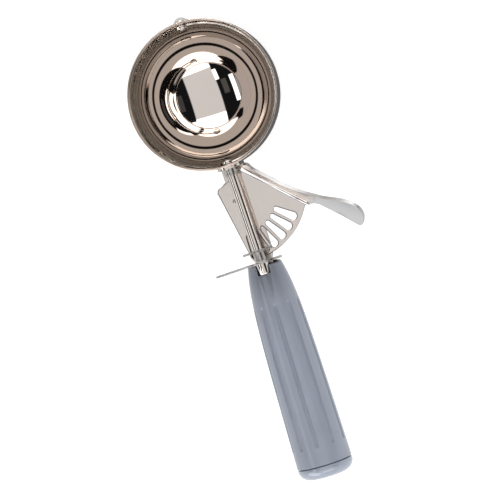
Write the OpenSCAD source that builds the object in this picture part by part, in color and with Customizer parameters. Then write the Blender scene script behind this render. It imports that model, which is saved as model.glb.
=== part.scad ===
// Lever ice cream scoop.
// Origin: centre of the bowl's mouth. +Z out of the mouth, +Y away from the handle, +X to the lever.
// A thumb lever turns a slotted sector. The slots turn a star pinion, its shaft and the scraper blade.

/* [View] */
// node to draw

/* [Bowl] */
// outside radius of the bowl
bowl_r = 35; // [25:0.5:40]
// sheet thickness of the bowl
bowl_t = 0.9; // [0.6:0.1:1.5]
// height of the straight skirt above the half ball
skirt_h = 8; // [2:0.5:12]
// thickness of the bracket's foot on the bowl
foot_t = 1.2; // [0.8:0.1:2]
// half width of the bracket's foot
foot_half_w = 5.5; // [4.5:0.5:12]
// half height of the bracket's foot
foot_half_h = 10; // [7:0.5:14]
// radius of the foot's corners
foot_round = 4; // [2:0.5:4.5]

/* [Scraper] */
// gap between blade and bowl
blade_gap = 0.3; // [0.2:0.05:0.6]
// thickness of the blade
blade_t = 0.8; // [0.6:0.1:1.2]
// width of the blade at its middle
blade_w = 11; // [7:0.5:16]
// width of the blade at its ends
blade_end_w = 4.6; // [3:0.2:8]
// angle of the resting blade below the mouth's plane
blade_rest = 5; // [2:0.5:10]
// radius of the bosses at the blade's ends
boss_r = 3.2; // [2.4:0.1:4]

/* [Shaft] */
// radius of the shaft
shaft_r = 2.3; // [1.8:0.1:3]
// radius of the shaft's journal in the pinion and the end bush
journal_r = 1.8; // [1.4:0.1:2.4]
// running clearance on a radius
run = 0.05; // [0.02:0.01:0.1]
// outside radius of the near bush
bush_r = 3; // [2.6:0.1:4]
// outside radius of the end bush
end_bush_r = 3; // [2.6:0.1:4]
// length of the end bush from the guard plate's upper face
end_bush_l = 6.1; // [4:0.1:10]

/* [Star pinion] */
// number of teeth
teeth = 8; // [6:1:12]
// radius over the teeth
tip_r = 7.3; // [6:0.1:9]
// radius at the foot of the teeth
root_r = 4.5; // [3.5:0.1:6]
// width of a tooth at its foot
tooth_root_w = 2.7; // [1.5:0.1:3]
// width of a tooth near its tip
tooth_tip_w = 1.7; // [0.8:0.1:2]
// thickness of the toothed disc
star_t = 1.1; // [0.8:0.1:2]
// radius of the hub
hub_r = 2.6; // [2.2:0.1:4]

/* [Thumb lever] */
// sheet thickness of the lever
lever_t = 1.5; // [1:0.1:2]
// offset of the pivot to the left of the shaft
pivot_off = 4.5; // [3:0.1:6]
// distance of the pivot from the bowl's outside
pivot_gap = 10.3; // [9:0.1:13]
// distance along the shaft from the pivot to the star pinion's middle
star_reach = 30.95; // [28:0.05:34]
// slots that a full turn would have
slots_per_turn = 39; // [36:1:44]
// number of slots
slots = 6; // [4:1:7]
// distance between the centres of a slot's two ends
slot_l = 8.6; // [5:0.1:10]
// radius of a slot's inner end
slot_in_r = 1.2; // [0.8:0.1:2]
// radius of a slot's outer end
slot_out_r = 1.9; // [1.4:0.1:2.2]
// turn of the flange's fold line from the X axis
fold_turn = 45.95; // [40:0.05:52]
// lean of the flange from upright
flange_lean = 28; // [15:1:50]
// height of the flange on its slope
flange_h = 5; // [2:0.1:8]
// length of the flange
flange_l = 34.2; // [30:0.1:38]

/* [Pivot and spring] */
// radius of the lever's pivot pin
pin_r = 1.6; // [1.2:0.1:2.5]
// radius of the pin's sunk head
pin_head_r = 2.6; // [2:0.1:4]
// radius of the return spring's wire
wire_r = 0.45; // [0.3:0.05:0.6]
// radius of the return spring's coil
coil_r = 3.3; // [3:0.1:4.5]
// turns of the return spring
coil_turns = 3; // [2:1:5]

/* [Shank and guard] */
// width of the shank
shank_w = 11; // [8:0.5:14]
// thickness of the shank
shank_t = 2.5; // [2:0.1:4]
// width of the tang inside the handle
tang_w = 8; // [6:0.5:9]
// thickness of the washer under the lever
washer_t = 0.5; // [0.3:0.1:1]
// thickness of the guard plate
guard_t = 1.1; // [0.8:0.1:2]
// distance of the guard plate's upper face from the star pinion's middle
guard_gap = 4.95; // [4.9:0.05:8]
// reach of the guard's tongue to the left
tongue_l = 23.4; // [18:0.1:30]
// radius of the tongue's tip
tongue_tip_r = 4.2; // [3:0.1:6]

/* [Handle] */
// radius of the grip at its neck
neck_r = 7.8; // [7:0.1:9]
// fast swelling of the grip's radius below the neck
swell = 3.7; // [2:0.1:5]
// length over which that swelling settles
swell_l = 14; // [8:1:24]
// steady growth of the radius per millimetre
taper = 0.0165; // [0:0.0005:0.03]
// length of the grip
grip_l = 97; // [80:1:120]
// sideways lean of the handle from the shaft
lean = 1.8; // [0:0.1:4]
// depth of the handle's axis below the shaft's axis
grip_drop = 6; // [4:0.5:8]
// number of flutes
flutes = 10; // [6:1:14]
// turn of the first flute from the X axis
flute_turn = 14; // [0:1:36]
// distance of the flutes' upper ends below the neck
flute_from = 21; // [12:1:30]
// radius of the cutter that makes a flute
flute_r = 1.4; // [1:0.1:6]
// depth of a flute at its ends
flute_d = 0.8; // [0.4:0.1:1.5]
// slant of the grip's upper face away from the guard plate
mouth_slant = 9; // [0:1:20]
// radius of the hollow below the end bush
hollow_r = 4; // [3:0.1:6]
// depth of the hollow below the grip's surface at the end bush
hollow_d = 1.8; // [0.5:0.1:3]
// length over which the hollow runs out
hollow_l = 12; // [6:1:20]
// length of the end cap
cap_l = 6; // [4:0.5:10]
// radius of the cap's rounded corner
cap_round = 5.2; // [3:0.1:6]

/* [Hidden] */
$fn = 64;
axis_z = -skirt_h;
bowl_in_r = bowl_r - bowl_t;
blade_out_r = bowl_in_r - blade_gap;
blade_in_r = blade_out_r - blade_t;
boss_face = blade_out_r - 0.2;
boss_l = 1.5;
spigot_r = 1.3;
spigot_end = boss_face - boss_l - 0.6;
far_bush_r = 2.5;
far_bush_end = bowl_r + 0.8;
near_bush_end = -(bowl_r + 3.6);
pivot = [-pivot_off, -(bowl_r + pivot_gap)];
star_y = pivot[1] - star_reach + star_t / 2;
guard_y = pivot[1] - star_reach - guard_gap;
hub_end = guard_y + 0.2;
cross_y = guard_y + 2;
shaft_end = guard_y - end_bush_l + 0.3;
rivet_y = -(bowl_r + 2.7);
slot_step = 360 / slots_per_turn;
slot_out = star_reach + 1.05;
slot_in = slot_out - slot_l;
sector_r = star_reach + 2.05;
contact = atan(pivot_off / star_reach);
pitch_r = star_reach / pow(cos(contact), 2) * teeth / slots_per_turn;
plate_top = axis_z - pitch_r + lever_t / 2;
plate_low = plate_top - lever_t;
shank_top = plate_low - washer_t;
shank_low = shank_top - shank_t;
slot_first = contact - slot_step / 2;
sector_c = pivot + [2.7, -1.32];
fold_at = pivot + [8.5, 7.7];
fold_end = fold_at + (flange_l + 1.8) * [cos(fold_turn), -sin(fold_turn)];
spring_hole = pivot + [0.45, -5.5];
hole_r = 0.6;
spool_r = 2.4;
spool_l = 5;
spool_low = shank_low - spool_l;
grip_y = guard_y - guard_t;
grip_depth = skirt_h + grip_drop;
bush_end = end_bush_l - guard_t;
slot_r = end_bush_r + 0.1;
collar_r = neck_r + 1.4;
tang_z = (shank_top + shank_low) / 2;
pocket_r = 9;
pocket_l = 13;
pocket_at = grip_l - pocket_l;
tang_l = pocket_at - 10;
stud_r = 2;
cap_out_r = grip_r(grip_l);
steel = [0.82, 0.81, 0.79];
dark_steel = [0.62, 0.61, 0.6];
grey = [0.5, 0.53, 0.59];

// radius of the grip at a distance below its neck
function grip_r(s) = neck_r + swell * (1 - exp(-s / swell_l)) + taper * s;

// round bar or tube along Y between two places, at a place in X and Z
module along_y(from, to, r, bore = 0, at = [0, axis_z]) {
    translate([at[0], max(from, to), at[1]]) rotate([90, 0, 0]) difference() {
        cylinder(r = r, h = abs(to - from));
        if (bore > 0) translate([0, 0, -1]) cylinder(r = bore, h = abs(to - from) + 2);
    }
}

// half ball of radius r below the shaft's axis, open towards the mouth
module half_ball(r) {
    translate([0, 0, axis_z]) rotate_extrude($fn = 128) intersection() {
        circle(r = r, $fn = 128);
        translate([0, -2 * r]) square([2 * r, 2 * r]);
    }
}

// the handle's own frame: origin on the handle's axis at the grip's upper face
module at_handle() {
    translate([0, grip_y, -grip_depth]) rotate([90, 0, 0]) rotate([0, -lean, 0]) children();
}

module bowl() {
    color(steel) difference() {
        union() {
            half_ball(bowl_r);
            translate([0, 0, axis_z]) cylinder(r = bowl_r, h = skirt_h, $fn = 128);
        }
        half_ball(bowl_in_r);
        translate([0, 0, axis_z - 0.001]) cylinder(r = bowl_in_r, h = skirt_h + 1, $fn = 128);
        along_y(0, -bowl_r - 5, bush_r);
        along_y(0, bowl_r + 5, far_bush_r);
    }
}

module bowl_bracket() {
    color(steel) {
        difference() {
            intersection() {
                translate([0, 0, axis_z]) sphere(r = bowl_r + foot_t, $fn = 128);
                translate([0, 0, axis_z - 0.6 * foot_half_h]) rotate([90, 0, 0]) linear_extrude(bowl_r + 5)
                    foot_2d();
            }
            translate([0, 0, axis_z]) sphere(r = bowl_r, $fn = 128);
            translate([0, 0, axis_z]) cylinder(r = bowl_r, h = 2 * skirt_h, $fn = 128);
            along_y(0, -bowl_r - 5, bush_r);
        }
        difference() {
            translate([0, 0, shank_low - foot_t]) linear_extrude(foot_t) union() {
                translate([-shank_w / 2, rivet_y - 0.9]) square([shank_w, 8]);
                translate([-shank_w / 2 + 2, rivet_y - 2.9]) square([shank_w - 4, 3]);
                for (side = [-1, 1]) translate([side * (shank_w / 2 - 2), rivet_y - 0.9]) circle(r = 2);
            }
            translate([0, 0, axis_z]) sphere(r = bowl_r + foot_t / 2, $fn = 128);
            rivet_holes();
        }
    }
}

module foot_2d() {
    square([2 * foot_half_w, 2 * (foot_half_h - foot_round)], center = true);
    square([2 * (foot_half_w - foot_round), 2 * foot_half_h], center = true);
    for (x = [-1, 1], z = [-1, 1]) translate([x * (foot_half_w - foot_round), z * (foot_half_h - foot_round)])
        circle(r = foot_round);
}

module rivet_holes() {
    for (side = [-1, 1]) translate([side * 3, rivet_y, shank_low - foot_t - 1])
        cylinder(r = 1.2, h = shank_t + foot_t + 2);
}

module shank_rivets() {
    color(dark_steel) for (side = [-1, 1]) translate([side * 3, rivet_y, 0]) {
        translate([0, 0, shank_low - foot_t]) cylinder(r = 1.2, h = shank_t + foot_t);
        translate([0, 0, shank_low - foot_t]) intersection() {
            sphere(r = 2);
            translate([0, 0, -2]) cylinder(r = 3, h = 2);
        }
    }
}

module shaft_bush() {
    color(dark_steel) along_y(1 - bowl_r, near_bush_end, bush_r, shaft_r + run);
}

module far_bush() {
    color(dark_steel) {
        along_y(bowl_r - 1, far_bush_end, far_bush_r, spigot_r + run);
        along_y(bowl_r, far_bush_end, far_bush_r + 1.2, far_bush_r);
    }
}

module blade_profile() {
    lens_r = (pow(blade_in_r, 2) + pow((blade_w - blade_end_w) / 2, 2)) / (blade_w - blade_end_w);
    intersection() {
        translate([0, blade_w / 2 - lens_r]) circle(r = lens_r, $fn = 256);
        translate([0, lens_r - blade_w / 2]) circle(r = lens_r, $fn = 256);
        square([2 * bowl_r, blade_w], center = true);
    }
}

module scraper_blade() {
    color(steel) difference() {
        translate([0, 0, axis_z]) rotate([0, blade_rest, 0]) union() {
            intersection() {
                difference() {
                    sphere(r = blade_out_r, $fn = 128);
                    sphere(r = blade_in_r, $fn = 128);
                }
                rotate([90, 0, 90]) linear_extrude(bowl_r) blade_profile();
            }
            for (side = [-1, 1]) rotate([side * 90, 0, 0]) translate([0, 0, boss_face - boss_l])
                cylinder(r = boss_r, h = boss_l);
        }
        along_y(-bowl_r, bowl_r, spigot_r);
        for (y = [boss_face, -boss_face - 2]) translate([-boss_r - 1, y, axis_z - boss_r - 1])
            cube([2 * boss_r + 2, 2, 2 * boss_r + 2]);
    }
}

module blade_shaft() {
    color(steel) {
        along_y(-spigot_end, -boss_face, spigot_r);
        along_y(-boss_face, star_y, shaft_r);
        difference() {
            along_y(star_y, shaft_end, journal_r);
            cross_hole();
        }
    }
}

module cross_hole() {
    translate([0, cross_y, axis_z - 2 * hub_r]) cylinder(r = 0.6, h = 4 * hub_r);
}

module star_pinion() {
    color(steel) difference() {
        union() {
            translate([0, star_y, axis_z]) rotate([90, 0, 0]) linear_extrude(star_t) star_2d();
            along_y(star_y, hub_end, hub_r);
        }
        along_y(star_y + 1, hub_end - 1, journal_r);
        cross_hole();
    }
}

module star_2d() {
    circle(r = root_r);
    for (k = [0:teeth - 1]) rotate((k + 0.5) * 360 / teeth) {
        polygon([[root_r - 1, -tooth_root_w / 2], [tip_r - tooth_tip_w / 2, -tooth_tip_w / 2],
            [tip_r - tooth_tip_w / 2, tooth_tip_w / 2], [root_r - 1, tooth_root_w / 2]]);
        translate([tip_r - tooth_tip_w / 2, 0]) circle(r = tooth_tip_w / 2);
    }
}

module pinion_pin() {
    color(dark_steel) intersection() {
        cross_hole();
        along_y(star_y, hub_end, hub_r);
    }
}

module shaft_clip() {
    color(dark_steel) along_y(near_bush_end - 0.1, near_bush_end - 0.7, shaft_r + 0.6, shaft_r);
}

module blade_pivot_pin() {
    color(steel) {
        along_y(spigot_end, far_bush_end + 0.2, spigot_r);
        translate([0, far_bush_end, axis_z]) rotate([-90, 0, 0]) rotate_extrude() intersection() {
            translate([0, -1.6]) circle(r = 3.4);
            square([3.4, 3]);
        }
    }
}

// tapered slot that points from the pivot
module slot_2d() {
    rotate(-90) {
        translate([slot_in, 0]) circle(r = slot_in_r);
        translate([slot_out, 0]) circle(r = slot_out_r);
        polygon([[slot_in, -slot_in_r], [slot_out, -slot_out_r], [slot_out, slot_out_r],
            [slot_in, slot_in_r]]);
    }
}

module sector_2d() {
    intersection() {
        translate(sector_c) circle(r = sector_r, $fn = 256);
        polygon([pivot + [-5.7, 0.3], pivot + [-0.9, 1.25 - star_reach], pivot + [-0.3, -1.15 - star_reach],
            pivot + [1.5, -star_reach - 5], pivot + [star_reach + 2.5, -star_reach - 5], fold_end, fold_at,
            fold_at + [-1.6, -1], pivot + [-3.4, 2.5]]);
    }
    translate(pivot + [-3.4, 0.2]) circle(r = 2.3);
}

// flange and thumb pad laid flat, along the fold from its near end
// their outline is in units of a 34.2nd of the flange's length
module flange_2d() {
    unit = flange_l / 34.2;
    rise = flange_h / unit;
    scale(unit) {
        polygon([[0, -1.2], [34.2, -1.2], [34.2, 0], [36.5, 1.9], [38.8, 4.7], [41.2, 5.75], [51.8, 5.45],
            [62.1, 4.4], [62.6, 6.5], [62.5, 11.2], [62, 15.6], [60.4, 19.4], [58.1, 21.4], [55.3, 21.7],
            [47.7, 18.8], [39.5, 12.7], [31.3, 8.1], [25.3, 6.2], [19.2, rise], [5.4, rise], [3.9, 6.1],
            [2.5, 6.8], [0.8, 4.9]]);
        translate([2.5, 5]) circle(r = 1.8);
        translate([60.7, 6.2]) circle(r = 1.9);
    }
}

module thumb_lever() {
    color(steel) {
        difference() {
            translate([0, 0, plate_low]) linear_extrude(lever_t) difference() {
                sector_2d();
                translate(pivot) for (k = [0:slots - 1]) rotate(slot_first + k * slot_step) slot_2d();
                translate(spring_hole) circle(r = hole_r);
            }
            translate([pivot[0], pivot[1], plate_low - 1]) cylinder(r = pin_r + run, h = 5);
            translate([pivot[0], pivot[1], plate_top - 0.8]) cylinder(r = pin_head_r + run, h = 2);
        }
        difference() {
            translate([fold_at[0], fold_at[1], plate_top]) rotate([90 - flange_lean, 0, -fold_turn])
                translate([0, 0, -lever_t]) linear_extrude(lever_t) flange_2d();
            translate([-50, -120, plate_low - 5]) cube([150, 150, 5]);
        }
    }
}

module pivot_pin() {
    color(dark_steel) translate([pivot[0], pivot[1], 0]) {
        translate([0, 0, plate_top - 0.75]) cylinder(r = pin_head_r, h = 0.75);
        translate([0, 0, spool_low - 0.5]) cylinder(r = pin_r, h = plate_top - 0.75 - spool_low + 0.5);
    }
}

module lever_washer() {
    color(dark_steel) translate([pivot[0], pivot[1], shank_top]) difference() {
        cylinder(r = 4, h = washer_t);
        translate([0, 0, -1]) cylinder(r = pin_r, h = 3);
    }
}

module spring_spool() {
    color(dark_steel) translate([pivot[0], pivot[1], spool_low]) difference() {
        union() {
            cylinder(r = spool_r, h = spool_l);
            cylinder(r = coil_r + 1, h = 0.8);
        }
        translate([0, 0, -1]) cylinder(r = pin_r, h = spool_l + 2);
    }
}

module shank() {
    color(steel) {
        difference() {
            translate([0, 0, shank_low]) linear_extrude(shank_t) difference() {
                union() {
                    translate([-shank_w / 2, guard_y + 3]) square([shank_w, -guard_y - 3 - bowl_in_r + 5]);
                    translate([-tang_w / 2, grip_y - 0.5]) square([tang_w, 8]);
                    translate(pivot) circle(r = 4.2);
                    polygon([[-shank_w / 2, guard_y + 3], [shank_w / 2, guard_y + 3], [tang_w / 2, guard_y],
                        [-tang_w / 2, guard_y]]);
                }
                translate(spring_hole - [16, 1.4]) square([16.85, 2.8]);
            }
            translate([0, 0, axis_z]) sphere(r = bowl_r + foot_t, $fn = 128);
            translate([pivot[0], pivot[1], shank_low - 1]) cylinder(r = pin_r, h = 5);
            rivet_holes();
        }
        at_handle() {
            translate([-tang_w / 2, tang_z + grip_depth - shank_t / 2, 0]) cube([tang_w, shank_t, tang_l]);
            translate([0, tang_z + grip_depth, tang_l - 1])
                cylinder(r = stud_r, h = pocket_at - tang_l + 6);
        }
    }
}

// points of the return spring: fixed leg, coil, and leg up to the lever's plate
function spring_path() = let (n = 20, leg_x = shank_w / 2 + wire_r + 0.1,
    z0 = shank_low - wire_r - 0.15, step = (2 * wire_r + 0.06) / n) concat(
    [[leg_x, pivot[1] - coil_r, shank_top - 0.2], [leg_x, pivot[1] - coil_r, shank_low - 0.2],
        [leg_x - 0.65, pivot[1] - coil_r, z0 - 0.1]],
    [for (k = [0:coil_turns * n - n / 4]) let (a = 270 - k * 360 / n)
        [pivot[0] + coil_r * cos(a), pivot[1] + coil_r * sin(a), z0 - 0.1 - k * step]],
    let (z1 = z0 - 0.1 - (coil_turns * n - n / 4) * step)
    [[pivot[0] + 3.1, pivot[1] - coil_r, z1], [pivot[0] + 1.9, spring_hole[1] + 0.5, z1 + 0.1],
        [spring_hole[0], spring_hole[1], z1 + 1.4],
        [spring_hole[0], spring_hole[1], plate_top - 0.1]]);

module return_spring() {
    color(dark_steel) sweep(spring_path(), wire_r);
}

// round wire of radius r along a path of points
module sweep(path, r, sides = 8) {
    n = len(path);
    dirs = [for (k = [0:n - 1]) let (d = path[min(k + 1, n - 1)] - path[max(k - 1, 0)]) d / norm(d)];
    rings = [for (k = [0:n - 1]) let (d = dirs[k], side = cross(d, abs(d[2]) > 0.9 ? [1, 0, 0] : [0, 0, 1]),
        p = side / norm(side), q = cross(d, p)) for (j = [0:sides - 1])
        path[k] + r * (p * cos(j * 360 / sides) + q * sin(j * 360 / sides))];
    walls = [for (k = [0:n - 2], j = [0:sides - 1]) let (m = (j + 1) % sides)
        [k * sides + j, k * sides + m, (k + 1) * sides + m, (k + 1) * sides + j]];
    first = [for (j = [sides - 1:-1:0]) j];
    last = [for (j = [0:sides - 1]) (n - 1) * sides + j];
    polyhedron(points = rings, faces = concat([first], walls, [last]), convexity = 6);
}

// round collar under the handle's neck with a tapering tongue
module guard_plate() {
    tip_x = -tongue_l + tongue_tip_r;
    color(steel) translate([0, guard_y, 1 - grip_depth]) rotate([90, 0, 0]) difference() {
        union() {
            cylinder(r = collar_r, h = guard_t);
            translate([tip_x, 0, 0]) cylinder(r = tongue_tip_r, h = guard_t);
            linear_extrude(guard_t) polygon([[-3, collar_r - 1.8], [-3, 1.8 - collar_r],
                [tip_x - 2, 1 - tongue_tip_r], [tip_x - 2, tongue_tip_r - 1]]);
        }
        translate([0, axis_z + grip_depth - 1, -1]) cylinder(r = end_bush_r, h = guard_t + 2);
        translate([-tang_w / 2, tang_z + grip_depth - 1 - shank_t / 2, -1])
            cube([tang_w, shank_t, guard_t + 2]);
    }
}

module end_bush() {
    color(steel) along_y(guard_y, guard_y - end_bush_l, end_bush_r, journal_r + run);
}

module handle_grip() {
    color(grey) difference() {
        intersection() {
            at_handle() rotate_extrude($fn = 96) polygon(concat([[0, -2]],
                [for (s = [-2:2:grip_l - 1]) [grip_r(s), s]], [[cap_out_r, grip_l], [0, grip_l]]));
            translate([-60, grip_y - 200, -60]) cube([120, 200, 120]);
        }
        at_handle() {
            translate([0, 0, -3]) cylinder(r = neck_r - 1.7, h = 15);
            translate([0, 0, pocket_at]) cylinder(r = pocket_r, h = pocket_l + 1);
            translate([-tang_w / 2 - 0.2, tang_z + grip_depth - shank_t / 2 - 0.2, -3])
                cube([tang_w + 0.4, shank_t + 0.4, tang_l + 5]);
            translate([0, tang_z + grip_depth, 0]) cylinder(r = stud_r + 0.2, h = grip_l);
            for (k = [0:flutes - 1]) rotate([0, 0, flute_turn + k * 360 / flutes]) flute();
            rotate([0, 0, -45]) rotate([mouth_slant, 0, 0]) translate([-20, 0, -6]) cube([40, 20, 6]);
        }
        translate([-slot_r, guard_y - end_bush_l - 0.4, axis_z]) cube([2 * slot_r, end_bush_l + 5, 20]);
        along_y(grip_y + 5, guard_y - end_bush_l - 0.4, slot_r);
        hollow();
    }
}

// cutter of the hollow that runs out below the end bush
module hollow() {
    low = grip_r(bush_end) - hollow_d;
    rise = atan((grip_r(bush_end + hollow_l) - low) / hollow_l);
    translate([0, guard_y - end_bush_l, low - grip_depth + hollow_r]) rotate([90 - rise, 0, 0])
        translate([0, 0, -4]) cylinder(r = hollow_r, h = hollow_l + 12);
}

// one flute's cutter along the grip, with rounded ends
module flute() {
    low = grip_l - 10;
    turn = atan((grip_r(low) - grip_r(flute_from)) / (low - flute_from));
    translate([grip_r(flute_from) + flute_r - flute_d, 0, flute_from]) rotate([0, turn, 0]) {
        sphere(r = flute_r);
        cylinder(r = flute_r, h = low - flute_from);
        translate([0, 0, low - flute_from]) sphere(r = flute_r);
    }
}

module end_cap() {
    color(grey) at_handle() translate([0, 0, grip_l]) {
        rotate_extrude($fn = 96) intersection() {
            union() {
                square([cap_out_r, cap_l - cap_round]);
                square([cap_out_r - cap_round, cap_l]);
                translate([cap_out_r - cap_round, cap_l - cap_round]) circle(r = cap_round);
            }
            square([cap_out_r, cap_l]);
        }
        translate([0, 0, -5]) difference() {
            cylinder(r = pocket_r, h = 5);
            translate([0, 0, -1]) cylinder(r = pocket_r - 1.5, h = 6);
        }
    }
}

module tang_washer() {
    color(dark_steel) at_handle() translate([0, tang_z + grip_depth, pocket_at]) difference() {
        cylinder(r = 4.2, h = 0.8);
        translate([0, 0, -1]) cylinder(r = stud_r, h = 3);
    }
}

module tang_nut() {
    color(dark_steel) at_handle() translate([0, tang_z + grip_depth, pocket_at + 0.8]) difference() {
        cylinder(r = 3.8, h = 3.2, $fn = 6);
        translate([0, 0, -1]) cylinder(r = stud_r, h = 6);
    }
}

bowl();
bowl_bracket();
shank();
shank_rivets();
shaft_bush();
far_bush();
scraper_blade();
blade_shaft();
star_pinion();
pinion_pin();
shaft_clip();
blade_pivot_pin();
thumb_lever();
pivot_pin();
lever_washer();
spring_spool();
return_spring();
guard_plate();
end_bush();
handle_grip();
end_cap();
tang_washer();
tang_nut();
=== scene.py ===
"""Looks of a lever ice cream scoop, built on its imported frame.

Shapes are in millimetres. Materials, the floor and the camera's clip distances are in metres.
"""
import math

import bmesh
import bpy
from mathutils import Matrix, Vector

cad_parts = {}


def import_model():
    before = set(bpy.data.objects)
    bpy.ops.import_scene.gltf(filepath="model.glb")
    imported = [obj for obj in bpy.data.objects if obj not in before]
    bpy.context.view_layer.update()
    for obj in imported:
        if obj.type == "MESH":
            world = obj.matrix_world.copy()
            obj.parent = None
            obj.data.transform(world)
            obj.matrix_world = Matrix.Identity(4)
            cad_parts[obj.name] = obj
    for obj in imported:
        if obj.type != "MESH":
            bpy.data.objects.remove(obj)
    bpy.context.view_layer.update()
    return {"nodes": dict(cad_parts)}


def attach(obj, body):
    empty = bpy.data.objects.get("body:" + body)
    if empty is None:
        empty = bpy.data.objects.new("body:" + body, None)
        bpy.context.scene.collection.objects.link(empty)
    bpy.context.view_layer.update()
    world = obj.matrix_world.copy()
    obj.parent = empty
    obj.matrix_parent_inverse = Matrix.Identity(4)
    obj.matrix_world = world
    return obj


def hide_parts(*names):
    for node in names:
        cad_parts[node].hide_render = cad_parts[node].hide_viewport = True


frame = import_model()
nodes = frame["nodes"]
MM = 0.001

# sizes shared by the pieces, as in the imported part
BOWL_R, BOWL_T, SKIRT = 35.0, 0.9, 8.0
AXIS_Z = -SKIRT
PIVOT = Vector((-4.5, -45.3, 0.0))
NECK_Y, GRIP_Z, LEAN = -82.3, -14.0, math.radians(1.8)
GRIP_L, CAP_L = 97.0, 6.0
CLOSE = 2e-6  # points nearer than this, in metres, are one point


# ---------------------------------------------------------------- mesh helpers
def link(obj):
    bpy.context.scene.collection.objects.link(obj)
    return obj


def place(obj, body, slot, node):
    """Puts an object on a body, in place of a CAD node."""
    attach(obj, body)
    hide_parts(node)
    return obj


def edited(obj, change):
    """Runs change on the object's mesh, given as a bmesh."""
    bm = bmesh.new()
    bm.from_mesh(obj.data)
    change(bm)
    bm.to_mesh(obj.data)
    bm.free()
    return obj


def mark_sharp(bm, degrees):
    """Smooth shading that breaks at edges steeper than the angle."""
    for e in bm.edges:
        e.smooth = len(e.link_faces) == 2 and e.calc_face_angle(0.0) < math.radians(degrees)
    for f in bm.faces:
        f.smooth = True


def sharp_edges(obj, degrees):
    return edited(obj, lambda bm: mark_sharp(bm, degrees))


def closed_mesh(name, verts, faces):
    """Smooth object from a closed surface, with its faces pointing out."""
    mesh = bpy.data.meshes.new(name)
    mesh.from_pydata([Vector(v) * MM for v in verts], [], faces)
    mesh.validate()
    mesh.polygons.foreach_set("use_smooth", [True] * len(mesh.polygons))
    obj = link(bpy.data.objects.new(name, mesh))
    return edited(obj, lambda bm: bmesh.ops.recalc_face_normals(bm, faces=bm.faces))


def add_piece(name, verts, faces, body, slot, node):
    return place(closed_mesh(name, verts, faces), body, slot, node)


def grid_faces(rows, cols, start=0):
    """Quads between closed rings of points: rows rings of cols points each."""
    faces = []
    for i in range(rows - 1):
        low, high = start + i * cols, start + (i + 1) * cols
        for j in range(cols):
            k = (j + 1) % cols
            faces.append((low + j, low + k, high + k, high + j))
    return faces


def angles(cols):
    """Angles of cols points evenly round a full turn."""
    return [2 * math.pi * j / cols for j in range(cols)]


def lathe(profile, to_world, cols):
    """Surface of revolution of (radius, height) points; a radius of 0 closes an end."""
    verts, faces, rings = [], [], []
    for radius, height in profile:
        if radius < 1e-6:
            rings.append([len(verts)])
            verts.append(to_world(0.0, 0.0, height))
        else:
            rings.append(list(range(len(verts), len(verts) + cols)))
            verts += [to_world(radius * math.cos(a), radius * math.sin(a), height) for a in angles(cols)]
    for low, high in zip(rings, rings[1:]):
        for j in range(cols):
            k = (j + 1) % cols
            if len(low) == 1:
                faces.append((low[0], high[k], high[j]))
            elif len(high) == 1:
                faces.append((low[j], low[k], high[0]))
            else:
                faces.append((low[j], low[k], high[k], high[j]))
    return verts, faces


def arc_points(cx, cy, r, start, end, n):
    """n + 1 points along an arc between two angles in degrees."""
    turns = [math.radians(start + (end - start) * i / n) for i in range(n + 1)]
    return [(cx + r * math.cos(a), cy + r * math.sin(a)) for a in turns]


def along_shaft(x, y, h):
    """Lathe frame whose height runs along -Y on the shaft's axis."""
    return (x, -h, AXIS_Z + y)


def on_grip(x, y, s):
    """Lathe frame of the handle: s runs from the neck to the butt."""
    return (
        x * math.cos(LEAN) - s * math.sin(LEAN),
        NECK_Y - (x * math.sin(LEAN) + s * math.cos(LEAN)),
        GRIP_Z + y,
    )


def soften(bm, width, segments=2, angle=34.0, keep=None, clamp=True, profile=0.5):
    """Rounds a mesh's sharp edges by width, leaving those that keep(edge) picks out."""
    limit = math.radians(angle)
    sharp = [e for e in bm.edges if len(e.link_faces) == 2 and e.calc_face_angle(0.0) > limit]
    if keep:
        sharp = [e for e in sharp if not keep(e)]
    bmesh.ops.bevel(
        bm, geom=sharp, offset=width * MM, offset_type="OFFSET", segments=segments, profile=profile,
        affect="EDGES", clamp_overlap=clamp, miter_outer="ARC",
    )
    bmesh.ops.remove_doubles(bm, verts=bm.verts, dist=CLOSE)


def finished(bm, name, body, slot, node):
    """Piece made from a bmesh, smooth but for its sharp edges, with face-weighted normals."""
    mark_sharp(bm, 50)
    mesh = bpy.data.meshes.new(name)
    bm.to_mesh(mesh)
    bm.free()
    obj = link(bpy.data.objects.new(name, mesh))
    obj.modifiers.new("weighted", "WEIGHTED_NORMAL").keep_sharp = True
    return place(obj, body, slot, node)


def welded(node):
    """A CAD node's mesh as a bmesh whose flat faces are whole."""
    bm = bmesh.new()
    bm.from_mesh(nodes[node].data)
    bmesh.ops.remove_doubles(bm, verts=bm.verts, dist=CLOSE)
    bmesh.ops.dissolve_limit(bm, angle_limit=math.radians(0.4), verts=bm.verts, edges=bm.edges)
    return bm


def eased_copy(node, width, body, slot):
    """Copy of a CAD node with its edges rounded by width, in place of the node."""
    bm = welded(node)
    soften(bm, width)
    return finished(bm, node + "_eased", body, slot, node)


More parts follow.
